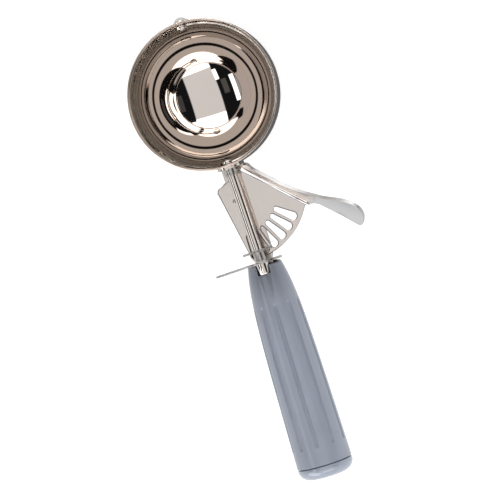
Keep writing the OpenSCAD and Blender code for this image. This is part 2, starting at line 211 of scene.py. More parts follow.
# ---------------------------------------------------------------- bowl, blade and shaft
def make_bowl():
    """Half ball with a straight skirt, whose wall thins inside towards a rounded lip."""
    inner, lip, thinned = BOWL_R - BOWL_T, 0.13, 2.6
    edge = BOWL_R - 2 * lip - inner
    profile = [(0.0, AXIS_Z - BOWL_R)] + arc_points(0.0, AXIS_Z, BOWL_R, -90, 0, 90)[1:-1]
    profile += [(BOWL_R, AXIS_Z + (SKIRT - lip) * k / 6) for k in range(7)]
    profile += arc_points(BOWL_R - lip, -lip, lip, 0, 180, 8)[1:]
    for k in range(1, 9):
        t = k / 8
        profile.append((inner + edge * (1 - t * t * (3 - 2 * t)), -lip - thinned * t))
    profile += [(inner, AXIS_Z * k / 5) for k in range(2, 6)]
    profile += arc_points(0.0, AXIS_Z, inner, 0, -90, 90)[1:-1] + [(0.0, AXIS_Z - inner)]
    verts, faces = lathe(profile, lambda x, y, h: (x, y, h), 256)
    return add_piece("bowl_shell", verts, faces, "frame", "polished_steel", "bowl")


def make_blade():
    """Curved scraper: a lens-shaped strip of a thin ball shell between two round bosses."""
    out_r, in_r, rest, top = 33.8, 33.0, math.radians(5), math.radians(84.8)
    half_width, narrowing, stations, across = 5.5, 3.2, 140, 14
    mid, half = (out_r + in_r) / 2, (out_r - in_r) / 2
    lens_r = (in_r**2 + narrowing**2) / (2 * narrowing)
    verts = []
    for i in range(stations + 1):
        lat = -top + 2 * top * i / stations
        y = mid * math.sin(lat)
        width = math.sqrt(max(lens_r**2 - y * y, 0)) - (lens_r - half_width)
        reach = math.asin(min(1.0, (width - half) / max(mid * math.cos(lat), 1e-3)))
        loop = []
        for sign, start in ((1, 0), (-1, 180)):
            loop += [(sign * half, sign * reach * (2 * k / across - 1), 0.0) for k in range(across + 1)]
            edge = arc_points(0.0, 0.0, half, start, start + 180, 8)[1:-1]
            loop += [(lift, sign * reach, side) for lift, side in edge]
        for lift, lon, side in loop:
            ring = (mid + lift) * math.cos(lat)
            x = ring * math.cos(lon) - side * math.sin(lon)
            z = ring * math.sin(lon) + side * math.cos(lon)
            verts.append((
                x * math.cos(rest) + z * math.sin(rest),
                (mid + lift) * math.sin(lat),
                AXIS_Z - x * math.sin(rest) + z * math.cos(rest),
            ))
    count = len(verts) // (stations + 1)
    faces = grid_faces(stations + 1, count)
    faces += [tuple(range(count))[::-1], tuple(range(stations * count, (stations + 1) * count))]
    boss = [
        (0, 32.1), (2.9, 32.1), (3.1, 32.18), (3.2, 32.4),
        (3.2, 33.3), (3.1, 33.5), (2.9, 33.6), (0, 33.6),
    ]
    for sign in (-1, 1):
        v, f = lathe(boss, lambda x, y, h, s=sign: (x, s * h, AXIS_Z + y * s), 64)
        faces += [tuple(k + len(verts) for k in face) for face in f]
        verts += v
    blade = add_piece("blade_strip", verts, faces, "scraper", "polished_steel", "scraper_blade")
    return sharp_edges(blade, 60)


def turned(name, body, slot, node, profile):
    """Turned piece on the shaft's axis from (radius, distance towards the handle) points."""
    verts, faces = lathe(profile, along_shaft, 96)
    return sharp_edges(add_piece(name, verts, faces, body, slot, node), 40)


bowl_shell = make_bowl()
blade_strip = make_blade()
shaft_rod = turned("shaft_rod", "scraper", "polished_steel", "blade_shaft", [
    (0, 31.6), (1.3, 31.6), (1.3, 33.6), (2.15, 33.6), (2.3, 33.75),
    (2.3, 75.7), (1.8, 75.7), (1.8, 86.75), (1.55, 87.0), (0, 87.0),
])
near_bush = turned("near_bush", "frame", "pin_steel", "shaft_bush", [
    (2.35, 34.0), (2.85, 34.0), (3.0, 34.15), (3.0, 38.35),
    (2.75, 38.6), (2.45, 38.6), (2.35, 38.5), (2.35, 34.0),
])
end_sleeve = turned("end_sleeve", "frame", "polished_steel", "end_bush", [
    (1.85, 81.2), (2.8, 81.2), (3.0, 81.35), (3.0, 87.0),
    (2.75, 87.3), (2.1, 87.3), (1.85, 87.1), (1.85, 81.2),
])

# ---------------------------------------------------------------- handle
MOUTH_R, SWELL, SWELL_RUN, TAPER = 7.8, 3.7, 14, 0.0165
MOUTH_FALL, MOUTH_FADE = 0.7 * math.tan(math.radians(9)), 12
BORE_R, BORE_L = 6.1, 12.0
FLUTES, FLUTE_TURN, FLUTE_R, FLUTE_DEPTH = 10, math.radians(14), 1.1, 0.62
FLUTE_FROM, FLUTE_TO, FLUTE_EASE = 21.0, 87.0, 0.3


def grip_radius(s):
    return MOUTH_R + SWELL * (1 - math.exp(-s / SWELL_RUN)) + TAPER * s


def soft_min(a, b, k):
    """The smaller of two values, rounded off where they are within k of each other."""
    h = max(0.0, k - abs(a - b)) / k
    return min(a, b) - h * h * k / 4


def fluted_radius(s, angle):
    """Radius of the grip with its narrow flutes, whose edges are rounded."""
    r = grip_radius(s)
    at = min(max(s, FLUTE_FROM), FLUTE_TO)
    # a flute ends bluntly near the butt and runs out more slowly towards the neck
    fall = max(0.0, abs(s - at) - 0.2) if s > FLUTE_TO else abs(s - at) * 0.55
    reach2 = FLUTE_R * FLUTE_R - fall**2
    if reach2 > 0:
        first, last = grip_radius(FLUTE_FROM), grip_radius(FLUTE_TO)
        axis = first + (last - first) * (at - FLUTE_FROM) / (FLUTE_TO - FLUTE_FROM) + FLUTE_R - FLUTE_DEPTH
        half_pitch = math.pi / FLUTES
        off = (angle - FLUTE_TURN + half_pitch) % (2 * half_pitch) - half_pitch
        inside = reach2 - (axis * math.sin(off)) ** 2
        if inside > 0:
            r = soft_min(r, axis * math.cos(off) - math.sqrt(inside), FLUTE_EASE)
        elif inside > -3:
            r = soft_min(r, axis * math.cos(off) + math.sqrt(-inside) * 0.7, FLUTE_EASE)
    return r


def mouth(r, a):
    """How far the slanted mouth lies behind the neck at a radius and angle."""
    return max(0.0, MOUTH_FALL * r * (math.cos(a) + math.sin(a)))


def make_grip():
    """Fluted moulding with a slanted mouth, a bore in it and a dark seam's rebate at the butt."""
    round_angles, rim = angles(600), 0.5
    cols = len(round_angles)
    marks = [0.0, 0.02, 0.07, 0.15, 0.26, 0.38, 0.5] + [0.9 + 0.7 * k for k in range(24)]
    marks += [17.7 + 0.4 * k for k in range(12)] + [23 + 2 * k for k in range(31)]
    marks += [84.5 + 0.35 * k for k in range(16)] + [91, 93, 95, 96, 96.4, 96.6]
    verts = []
    for s in marks:
        ease = rim - math.sqrt(max(0.0, rim**2 - max(0.0, rim - s) ** 2))
        for a in round_angles:
            at = s + mouth(grip_radius(s), a) * max(0.0, 1 - s / MOUTH_FADE)
            r = fluted_radius(at, a) - ease
            verts.append(on_grip(r * math.cos(a), r * math.sin(a), at))
    last = grip_radius(GRIP_L)
    seam = [(96.68, 0.03), (96.74, 0.1), (96.76, 0.2), (96.78, 1.3), (96.99, 1.4)]
    for s, depth in seam:
        r = last - depth
        verts += [on_grip(r * math.cos(a), r * math.sin(a), s) for a in round_angles]
    rows = len(marks) + len(seam)
    faces = grid_faces(rows, cols)
    faces.append(tuple(range((rows - 1) * cols, rows * cols)))
    start = len(verts)
    for s in (0.0, BORE_L / 2, BORE_L):
        for a in round_angles:
            verts.append(on_grip(BORE_R * math.cos(a), BORE_R * math.sin(a), s if s else mouth(BORE_R, a)))
    faces += [(start + j, start + (j + 1) % cols, (j + 1) % cols, j) for j in range(cols)]
    faces += grid_faces(3, cols, start)
    faces.append(tuple(range(start + 2 * cols, start + 3 * cols)))
    return add_piece("grip_moulding", verts, faces, "frame", "grip_plastic", "handle_grip")


def cut_away(obj, cutters):
    """Boolean difference of obj with each cutter, written back into obj's mesh."""
    for c in cutters:
        m = obj.modifiers.new("cut", "BOOLEAN")
        m.operation, m.solver, m.object = "DIFFERENCE", "EXACT", c
    bpy.context.view_layer.update()
    shaped = bpy.data.meshes.new_from_object(obj.evaluated_get(bpy.context.evaluated_depsgraph_get()))
    obj.modifiers.clear()
    old = obj.data
    obj.data = shaped
    bpy.data.meshes.remove(old)
    for c in cutters:
        bpy.data.objects.remove(c)


def make_slot():
    """Cutter of the seat's open top, above the end sleeve's middle."""
    verts = [(x, -y, z) for x in (-SEAT_R, SEAT_R) for y in (SEAT_FROM, SEAT_TO) for z in (AXIS_Z, 8)]
    return verts, [(0, 1, 3, 2), (4, 6, 7, 5), (0, 4, 5, 1), (2, 3, 7, 6), (0, 2, 6, 4), (1, 5, 7, 3)]


def make_hollow():
    """Cutter of the hollow that runs out below the end sleeve."""
    radius, depth, start, run = 4.0, 1.8, 5.0, 12.0
    low = grip_radius(start) - depth
    rise = math.atan((grip_radius(start + run) - low) / run)

    def to_world(x, y, h):
        along, up = h * math.cos(rise) - y * math.sin(rise), h * math.sin(rise) + y * math.cos(rise)
        return (x, NECK_Y - start - along, GRIP_Z + low + radius + up)

    return lathe([(0, -4.0), (radius, -4.0), (radius, 20.0), (0, 20.0)], to_world, 96)


def make_cap():
    """Domed cap with a small rounded edge at the seam."""
    r0, front, ease, dome = grip_radius(GRIP_L), GRIP_L + 0.26, 0.2, 5.2
    profile = [(0.0, GRIP_L), (r0 - 1.3, GRIP_L), (r0 - 1.2, front - 0.02), (r0 - ease, front)]
    profile += arc_points(r0 - ease, front + ease, ease, -90, 0, 4)[1:]
    profile += arc_points(r0 - dome, GRIP_L + CAP_L - dome, dome, 0, 90, 18)
    profile += [(0.0, GRIP_L + CAP_L)]
    verts, faces = lathe(profile, on_grip, 192)
    return add_piece("butt_cap", verts, faces, "frame", "cap_plastic", "end_cap")


SEAT_R, SEAT_FROM, SEAT_TO = 3.06, 76.0, 87.4  # the end sleeve's seat in the mouth
seat = lathe([(0, SEAT_FROM), (SEAT_R, SEAT_FROM), (SEAT_R, SEAT_TO), (0, SEAT_TO)], along_shaft, 64)
grip = make_grip()
cut_away(grip, [closed_mesh("cutter", *shape) for shape in (make_slot(), seat, make_hollow())])
sharp_edges(grip, 34)
butt_cap = make_cap()

# ---------------------------------------------------------------- thumb lever
FOLD_TURN, FLANGE_TILT = math.radians(45.95), math.radians(62)
FOLD_DIR = Vector((math.cos(FOLD_TURN), -math.sin(FOLD_TURN), 0))
FOLD_OUT = Vector((math.sin(FOLD_TURN), math.cos(FOLD_TURN), 0))
UP = Vector((0, 0, 1))
LEVER_T = 1.5
PLATE_TOP = AXIS_Z - 6.48 + LEVER_T / 2
FOLD_AT = Vector((4, -37.6, PLATE_TOP))
FLANGE_SLOPE = math.cos(FLANGE_TILT) * FOLD_OUT + math.sin(FLANGE_TILT) * UP
FLANGE_NORMAL = math.cos(FLANGE_TILT) * UP - math.sin(FLANGE_TILT) * FOLD_OUT
# the bend: a tight arc up to BEND_MID, then a wide one on to the flange's slope
BEND_MID, BEND_R1, BEND_R2 = math.radians(28), 0.5, 3.0
BEND_RISE = BEND_R1 * (1 - math.cos(BEND_MID)) + BEND_R2 * (math.cos(BEND_MID) - math.cos(FLANGE_TILT))
BEND_RUN = BEND_R1 * math.sin(BEND_MID) + BEND_R2 * (math.sin(FLANGE_TILT) - math.sin(BEND_MID))
BEND_END = BEND_RISE / math.sin(FLANGE_TILT)
BEND_START = BEND_END * math.cos(FLANGE_TILT) - BEND_RUN
SPLIT_W = BEND_START - 0.5  # across the fold, where the sector ends and the flange starts
# the flange's outline as (distance along the fold, distance across it)
LOWER_EDGE = [
    (0, SPLIT_W), (33.4, SPLIT_W), (34.3, SPLIT_W + 0.2), (35.3, -0.6), (36.4, 1.1), (37.6, 3.2), (39.2, 4.9),
    (41.2, 5.65), (46, 5.7), (51.8, 5.45), (58, 4.75), (60.8, 4.4), (62.0, 5.0), (62.5, 6.5), (62.62, 8.4),
]
UPPER_EDGE = [
    (0, 1.2), (0.35, 3.9), (0.95, 5.7), (1.8, 6.6), (2.7, 6.75), (3.6, 6.3), (4.5, 5.5), (6, 5.02), (12, 4.98),
    (19.2, 5.1), (25.3, 6.2), (31.3, 8.1), (39.5, 12.7), (47.7, 18.7), (52, 20.9), (55.3, 21.65), (58.1, 21.3),
    (60.4, 19.3), (61.9, 15.6), (62.5, 11.2), (62.62, 9.2),
]
CROWN, PAD_MID, PAD_HALF = 0.55, (51, 12), (14, 10)


def ramp(value, start, run):
    """0 before start, 1 past start + run, and straight between."""
    return min(1.0, max(0.0, (value - start) / run))


def curve_value(points, a):
    """Height at a of a smooth curve through the points, which never overshoots them."""
    for (x0, y0), (x1, y1) in zip(points, points[1:]):
        if a <= x1:
            break
    k = points.index((x1, y1))
    rise = (y1 - y0) / (x1 - x0)

    def slope(n):
        if n <= 0 or n >= len(points) - 1:
            return rise
        (xa, ya), (xb, yb), (xc, yc) = points[n - 1 : n + 2]
        s0, s1 = (yb - ya) / (xb - xa), (yc - yb) / (xc - xb)
        return 0.0 if s0 * s1 <= 0 else 2 * s0 * s1 / (s0 + s1)

    t, w = min(max((a - x0) / (x1 - x0), 0), 1), x1 - x0
    m0, m1 = slope(k - 1) * w, slope(k) * w
    from_start = (2 * t**3 - 3 * t**2 + 1) * y0 + (t**3 - 2 * t**2 + t) * m0
    return from_start + (3 * t**2 - 2 * t**3) * y1 + (t**3 - t**2) * m1


def flange_point(a, w):
    """Point and normal of the lever's near face, a along the fold and w across it from the plate."""
    base = FOLD_AT + a * FOLD_DIR
    if w <= BEND_START:
        return base + w * FOLD_OUT, UP.copy()
    if w < BEND_END:
        length = BEND_R1 * BEND_MID + BEND_R2 * (FLANGE_TILT - BEND_MID)
        reach = (w - BEND_START) / (BEND_END - BEND_START) * length
        turn = min(reach / BEND_R1, BEND_MID)
        run, rise = BEND_R1 * math.sin(turn), BEND_R1 * (1 - math.cos(turn))
        if reach > BEND_R1 * BEND_MID:
            turn = BEND_MID + (reach - BEND_R1 * BEND_MID) / BEND_R2
            run += BEND_R2 * (math.sin(turn) - math.sin(BEND_MID))
            rise += BEND_R2 * (math.cos(BEND_MID) - math.cos(turn))
        point = base + (BEND_START + run) * FOLD_OUT + rise * UP
        return point, math.cos(turn) * UP - math.sin(turn) * FOLD_OUT
    # the pad is crowned about its middle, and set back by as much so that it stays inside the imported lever
    crown = CROWN
    for value, mid, half in zip((a, w), PAD_MID, PAD_HALF):
        crown *= max(0.0, 1 - ((value - mid) / half) ** 2)
    return base + w * FLANGE_SLOPE + (crown - CROWN * ramp(a, 38, 12)) * FLANGE_NORMAL, FLANGE_NORMAL.copy()


def make_flange():
    """Flange and thumb pad in one sheet. The pad's lower edge rolls away from its face."""
    rows, lip_run, lip_drop, lip_out = 36, 1.5, 0.6, 0.5
    stations = [0.0, 0.12, 0.3] + [0.55 * k for k in range(1, 9)] + [5 + 0.9 * k for k in range(31)]
    stations += [33 + 0.4 * k for k in range(22)] + [41.9 + 0.6 * k for k in range(31)]
    stations += [60.3 + 0.2 * k for k in range(9)] + [62.1, 62.25, 62.38, 62.48, 62.56, 62.62]
    verts = []
    for a in stations:
        ease = ramp(a, 37, 3)
        lip, low = 1e-6 + lip_run * ease, curve_value(LOWER_EDGE, a) - lip_out * ease
        high = curve_value(UPPER_EDGE, a)
        near, far = [], []
        for k in range(rows + 1):
            above = (high - low) * (k / rows) ** 1.25
            p, n = flange_point(a, low + above)
            near.append(p - lip_drop * (lip - math.sqrt(lip**2 - max(0.0, lip - above) ** 2)) * n)
            far.append(p - LEVER_T * n)
        verts += near + far[::-1]
    count = 2 * (rows + 1)
    faces = grid_faces(len(stations), count)
    for at, flip in ((0, False), ((len(stations) - 1) * count, True)):
        for k in range(rows):
            quad = (at + k, at + k + 1, at + count - 2 - k, at + count - 1 - k)
            faces.append(quad if flip else quad[::-1])
    mesh = bpy.data.meshes.new("flange")
    mesh.from_pydata([v * MM for v in verts], [], faces)
    bm = bmesh.new()
    bm.from_mesh(mesh)
    bpy.data.meshes.remove(mesh)
    bmesh.ops.recalc_face_normals(bm, faces=bm.faces)
    join = (SPLIT_W + 0.01) * MM

    def at_join(e):
        return all((v.co - FOLD_AT * MM).dot(FOLD_OUT) < join for v in e.verts)

    soften(bm, 0.4, segments=3, angle=55.0, keep=at_join)
    return finished(bm, "lever_flange", "lever", "satin_steel", "thumb_lever")


def make_sector():
    """The lever's plate up to the split, with its edges rolled over on both faces."""
    bm = welded("thumb_lever")
    at = (FOLD_AT + SPLIT_W * FOLD_OUT) * MM
    cut = bmesh.ops.bisect_plane(
        bm, geom=bm.verts[:] + bm.edges[:] + bm.faces[:], dist=1e-7,
        plane_co=at, plane_no=FOLD_OUT, clear_outer=True,
    )
    rim = [e for e in cut["geom_cut"] if isinstance(e, bmesh.types.BMEdge)]
    bmesh.ops.holes_fill(bm, edges=rim, sides=0)
    bmesh.ops.recalc_face_normals(bm, faces=bm.faces)
    pin, pin_zone = (PIVOT + PLATE_TOP * UP) * MM, 3.5 * MM
    web_x, web_y = -4.1 * MM, -69 * MM  # the thin web at the sector's left end

    def left_sharp(e):
        on_split = all(abs((v.co - at).dot(FOLD_OUT)) < 0.01 * MM for v in e.verts)
        on_web = all(v.co.x < web_x and v.co.y < web_y for v in e.verts)
        return on_split or on_web or all((v.co - pin).xy.length < pin_zone for v in e.verts)

    roll, drop = 0.42, 0.2
    soften(bm, roll, segments=3, keep=left_sharp, clamp=False, profile=0.3)
    # the bevel is as deep as it is wide, so it is flattened to a fifth of that
    middle = (PLATE_TOP - LEVER_T / 2) * MM
    for v in bm.verts:
        below = LEVER_T / 2 * MM - abs(v.co.z - middle)
        if 1e-6 < below < (roll + 0.02) * MM and (v.co - pin).xy.length > pin_zone:
            v.co.z += (1 - drop) * below * (1 if v.co.z > middle else -1)
    return finished(bm, "lever_sector", "lever", "satin_steel", "thumb_lever")


lever_flange = make_flange()
lever_sector = make_sector()

# ---------------------------------------------------------------- sheet and small pieces
EASED = [
    ("guard_plate", 0.18, "frame", "satin_steel"),
    ("star_pinion", 0.14, "scraper", "satin_steel"),
    ("shank", 0.25, "frame", "satin_steel"),
    ("bowl_bracket", 0.2, "frame", "polished_steel"),
    ("blade_pivot_pin", 0.12, "scraper", "polished_steel"),
    ("far_bush", 0.12, "frame", "pin_steel"),
    ("spring_spool", 0.12, "frame", "pin_steel"),
    ("lever_washer", 0.08, "frame", "pin_steel"),
    ("shank_rivets", 0.1, "frame", "pin_steel"),
]
eased = {node: eased_copy(node, width, body, slot) for node, width, body, slot in EASED}


# ---------------------------------------------------------------- materials
class Nodes:
    """Keeps the calls on a node tree short. A value is a socket or a constant."""

    def __init__(self, tree):
        self.tree = tree

    def node(self, kind, **settings):
        n = self.tree.nodes.new(kind)
        for key, value in settings.items():
            setattr(n, key, value)
        return n

    def put(self, socket, value):
        if isinstance(value, bpy.types.NodeSocket):
            self.tree.links.new(value, socket)
        elif value is not None:
            socket.default_value = value

    def fill(self, n, *values):
        """Puts the values on the node's first inputs."""
        for socket, value in zip(n.inputs, values):
            self.put(socket, value)
        return n.outputs

    def math(self, op, a, b=None):
        return self.fill(self.node("ShaderNodeMath", operation=op), a, b)[0]

    def product(self, first, *others):
        for value in others:
            first = self.math("MULTIPLY", first, value)
        return first

    def vec(self, op, a, b=None):
        outputs = self.fill(self.node("ShaderNodeVectorMath", operation=op), a, b)
        return outputs["Value" if op in ("LENGTH", "DOT_PRODUCT") else "Vector"]

    def xyz(self, point):
        return self.fill(self.node("ShaderNodeSeparateXYZ"), point)

    def point(self, x, y):
        return self.fill(self.node("ShaderNodeCombineXYZ"), x, y)[0]

    def noise(self, vector, scale, detail, rough, distortion=0.0):
        """Noise of a scale per metre."""
        n = self.node("ShaderNodeTexNoise")
        self.put(n.inputs["Vector"], vector)
        n.inputs["Scale"].default_value = scale
        n.inputs["Detail"].default_value = detail
        n.inputs["Roughness"].default_value = rough
        n.inputs["Distortion"].default_value = distortion
        return n.outputs["Fac"]

    def span(self, value, low, high, out_low=0.0, out_high=1.0, kind="LINEAR"):
        """Takes low..high to out_low..out_high and stops at both ends."""
        n = self.node("ShaderNodeMapRange", clamp=True, interpolation_type=kind)
        return self.fill(n, value, low, high, out_low, out_high)[0]

    def blend(self, factor, a, b, mode="MIX"):
        n = self.node("ShaderNodeMix", data_type="RGBA", blend_type=mode)
        self.put(n.inputs[0], factor)
        for socket, value in ((n.inputs[6], a), (n.inputs[7], b)):
            self.put(socket, (*value, 1) if isinstance(value, tuple) else value)
        return n.outputs[2]

    def mix_shader(self, factor, first, second):
        return self.fill(self.node("ShaderNodeMixShader"), factor, first, second)[0]


class Skin(Nodes):
    """A material of one Principled shader."""

    def __init__(self, name, base, metallic, roughness):
        self.mat = bpy.data.materials.new(name)
        self.mat.use_nodes = True
        super().__init__(self.mat.node_tree)
        self.bsdf = self.tree.nodes["Principled BSDF"]
        self.bsdf.inputs["Base Color"].default_value = (*base, 1)
        self.bsdf.inputs["Metallic"].default_value = metallic
        self.bsdf.inputs["Roughness"].default_value = roughness
        self.coord = self.node("ShaderNodeTexCoord").outputs["Object"]

    def scaled(self, scale, source=None):
        return self.vec("MULTIPLY", source or self.coord, scale)

    def bump(self, height, strength, distance, under=None):
        n = self.node("ShaderNodeBump")
        self.put(n.inputs["Height"], height)
        n.inputs["Strength"].default_value = strength
        n.inputs["Distance"].default_value = distance
        self.put(n.inputs["Normal"], under)
        return n.outputs["Normal"]

    def finish(self, color, roughness=None, normal=None):
        for key, value in (("Base Color", color), ("Roughness", roughness), ("Normal", normal)):
            self.put(self.bsdf.inputs[key], value)
        return self.mat


def shaded(factor, base):
    return tuple(factor * c for c in base)


def polished_steel(name, base, rough, rings, relief):
    """Mirror steel with faint polishing rings about Z (or along the shaft), fingerprints and hairlines."""
    m = Skin(name, base, 1.0, rough)
    x, y, z = m.xyz(m.coord)
    if rings == "z":
        across, along = m.point(x, y), z
    else:
        across, along = m.point(x, m.math("ADD", z, -AXIS_Z * MM)), y
    lines = m.noise(m.point(m.vec("LENGTH", across), along), 2600, 3, 0.6)
    smear = m.noise(m.coord, 60, 5, 0.6, 0.6)
    specks = m.noise(m.coord, 900, 2, 0.5)
    tone = m.blend(m.span(smear, 0.3, 0.75), shaded(0.97, base), base)
    haze = m.span(smear, 0.35, 0.75, rough * 0.8, rough * 1.5)
    r = m.math("ADD", haze, m.span(specks, 0.62, 0.8, 0.0, rough * 0.6))
    normal = m.bump(lines, relief, 0.00002)
    normal = m.bump(m.noise(m.coord, 38, 1, 0.4), 0.04, 0.0004, normal)
    return m.finish(tone, r, normal)


def sheet_steel(name, base, rough, grain, cut, face=(0, 0, 1), above=None, painted_shade=None):
    """Rolled sheet with a fine grain, light scuffs and edges painted towards the tone cut as shade, where they
    turn away from face.

    With above, the sheet is duller higher than that and only its edges there are painted darker.
    With unlit, the rolled edges that face left and towards the handle are painted in that dark tone, as shade.
    """
    m = Skin(name, base, 1.0, rough)
    turned_to = m.node("ShaderNodeMapping")
    m.put(turned_to.inputs["Vector"], m.coord)
    turned_to.inputs["Rotation"].default_value = (0, 0, grain)
    fine = m.noise(m.scaled((90, 2600, 2600), turned_to.outputs[0]), 1.0, 4, 0.6)
    cloud = m.noise(m.coord, 55, 4, 0.55, 0.4)
    scuff = m.noise(m.scaled((260, 900, 700), turned_to.outputs[0]), 1.0, 5, 0.7)
    tone = m.blend(m.span(cloud, 0.3, 0.75), shaded(0.95, base), base)
    tone = m.blend(m.span(scuff, 0.66, 0.8, 0.0, 0.25), tone, shaded(0.85, base))
    r = m.span(fine, 0.3, 0.7, rough * 0.75, rough * 1.25)
    r = m.math("ADD", r, m.span(scuff, 0.6, 0.8, 0.0, 0.1))
    facing = m.node("ShaderNodeTexCoord").outputs["Normal"]
    turned_away = m.math("ABSOLUTE", m.vec("DOT_PRODUCT", facing, face))
    edge = m.span(turned_away, 0.4, 0.9, 1.0, 0.0)
    if above:
        high = m.span(m.xyz(m.coord)[2], above, above + 0.0008)
        edge = m.product(edge, high)
        r = m.math("ADD", r, m.product(high, 0.2))
    # painted shade: edges that turn away from the face are darkened towards the tone cut
    tone = m.blend(m.product(edge, 0.85), tone, (cut, 0.98 * cut, 0.96 * cut))
    r = m.math("ADD", r, m.product(edge, 0.15))
    if painted_shade:
        # painted shade on the rolled edges that face left and towards the handle: dark tone and little metal
        # shine
        along_face = PAINTED_SHADE_SIDE - Vector(face) * PAINTED_SHADE_SIDE.dot(Vector(face))
        shade_mask = m.span(m.vec("DOT_PRODUCT", facing, tuple(along_face)), 0.012, 0.06)
        if above:
            shade_mask = m.product(shade_mask, high)
        tone = m.blend(m.product(shade_mask, 0.95), tone, (painted_shade, painted_shade, painted_shade))
        m.put(m.bsdf.inputs["Metallic"], m.math("SUBTRACT", 1.0, m.product(shade_mask, 0.9)))
        m.bsdf.inputs["Specular IOR Level"].default_value = 0.0
    normal = m.bump(fine, 0.08, 0.00002)
    normal = m.bump(cloud, 0.05, 0.0003, normal)
    return m.finish(tone, r, normal)


def pin_metal(name, base, rough):
    """Turned steel with a tumbled, slightly stained skin."""
    m = Skin(name, base, 1.0, rough)
    stain = m.noise(m.coord, 300, 4, 0.6, 0.5)
    pits = m.noise(m.coord, 1800, 3, 0.6)
    tone = m.blend(m.span(stain, 0.35, 0.75), shaded(0.82, base), base)
    r = m.span(pits, 0.3, 0.7, rough * 0.7, rough * 1.4)
    return m.finish(tone, r, m.bump(pits, 0.12, 0.00004))


def moulded_plastic(name, base, rough, coat, neck=False):
    """Satin moulded plastic: fine spark-eroded skin, flow marks along the length and soft scuffs.

    With neck, painted shade darkens the skin softly towards the mouth and round the hollow in it.
    """
    m = Skin(name, base, 0.0, rough)
    m.bsdf.inputs["Specular IOR Level"].default_value = 0.45
    m.bsdf.inputs["Coat Weight"].default_value = coat
    m.bsdf.inputs["Coat Roughness"].default_value = 0.07
    skin = m.noise(m.coord, 3200, 2, 0.6)
    flow = m.noise(m.scaled((160, 14, 160)), 1.0, 4, 0.55)
    cloud = m.noise(m.coord, 45, 5, 0.6, 0.3)
    scuff = m.noise(m.scaled((420, 60, 420)), 1.0, 6, 0.75)
    tone = m.blend(m.span(cloud, 0.3, 0.75), shaded(0.93, base), shaded(1.05, base))
    tone = m.blend(m.span(flow, 0.35, 0.7, 0.0, 0.35), tone, shaded(0.88, base))
    tone = m.blend(m.span(scuff, 0.68, 0.82, 0.0, 0.35), tone, shaded(1.25, base))
    if neck:
        # painted shade: darker towards the mouth, and darker still round the hollow under the end sleeve
        near = m.span(m.xyz(m.coord)[1], *NECK_SHADE_FADE, 1.0, 0.89, "SMOOTHSTEP")
        apart = m.vec("LENGTH", m.vec("SUBTRACT", m.coord, HOLLOW_SHADE_AT))
        tone = m.blend(1.0, tone, m.product(near, m.span(apart, 0.003, 0.014, 0.68, 1.0)), "MULTIPLY")
    r = m.span(cloud, 0.3, 0.75, rough * 0.9, rough * 1.15)
    r = m.math("ADD", r, m.span(scuff, 0.62, 0.8, 0.0, 0.12))
    normal = m.bump(skin, 0.14, 0.00005)
    normal = m.bump(cloud, 0.06, 0.0004, normal)
    return m.finish(tone, r, normal)


# rolled edges that face this way are painted dark, as shade
PAINTED_SHADE_SIDE = Vector((-0.89, -0.45, 0.0))
# along y, where the grip's painted shade starts and where it is full, and the middle of its painted shade round
# the hollow, in metres
NECK_SHADE_FADE, HOLLOW_SHADE_AT = (-0.122, -0.096), (0.0, -0.087, -0.0055)
LEVER_GRAIN = math.radians(-46)  # along the fold
BEND_TOP = (PLATE_TOP + 1.9) * MM
STEEL, PLATE, PAD, FLAT = (0.600, 0.562, 0.530), (0.61, 0.575, 0.55), (0.61, 0.605, 0.605), (0.59, 0.56, 0.53)
FINISHES = {
    polished_steel("steel_bowl", STEEL, 0.03, "z", 0.012): [bowl_shell, blade_strip, eased["bowl_bracket"]],
    polished_steel("steel_turned", STEEL, 0.07, "y", 0.004): [shaft_rod, end_sleeve, eased["blade_pivot_pin"]],
    sheet_steel("steel_lever", PLATE, 0.13, LEVER_GRAIN, 0.12, painted_shade=0.03): [lever_sector, nodes["pivot_pin"]],
    sheet_steel("steel_pad", PAD, 0.13, LEVER_GRAIN, 0.5, tuple(FLANGE_NORMAL), BEND_TOP, 0.03): [lever_flange],
    sheet_steel("steel_flat", FLAT, 0.16, 0.0, 0.12): [eased["shank"]],
    sheet_steel("steel_guard", FLAT, 0.16, 0.0, 0.36, (0, 1, 0)): [eased["guard_plate"], eased["star_pinion"]],
    pin_metal("steel_pins", (0.52, 0.5, 0.48), 0.25): [near_bush]
    + [nodes[k] for k in ("pinion_pin", "shaft_clip", "tang_washer", "tang_nut")]
    + [eased[k] for k in ("far_bush", "spring_spool", "lever_washer", "shank_rivets")],
    pin_metal("steel_wire", (0.45, 0.44, 0.43), 0.28): [nodes["return_spring"]],
    moulded_plastic("plastic_grip", (0.275, 0.302, 0.365), 0.34, 0.25, neck=True): [grip],
    moulded_plastic("plastic_cap", (0.27, 0.305, 0.37), 0.3, 0.8): [butt_cap],
}
for finish, pieces in FINISHES.items():
    for piece in pieces:
        if not piece.material_slots:
            piece.data.materials.append(finish)
        for slot in piece.material_slots:
            slot.material = finish

# ---------------------------------------------------------------- floor, light and camera
FLOOR_R, FLOOR_GAP = 6.0, 0.0002
FLOOR_SHADOW_SPAN = (0.05, 0.075)  # where the painted shadow round the bowl, which only metal sees, ends
CAMERA_TILT = math.radians(10)

DARK, SOFTBOX, CEILING, WALL = (0.012, 0.012, 0.013), (4.2, 4.2, 4.2), (1.03, 1.0, 0.985), (1.0, 1.0, 1.0)
WHITE, GROUND = (1.0, 1.0, 1.0, 1.0), (0.9, 0.9, 0.9)
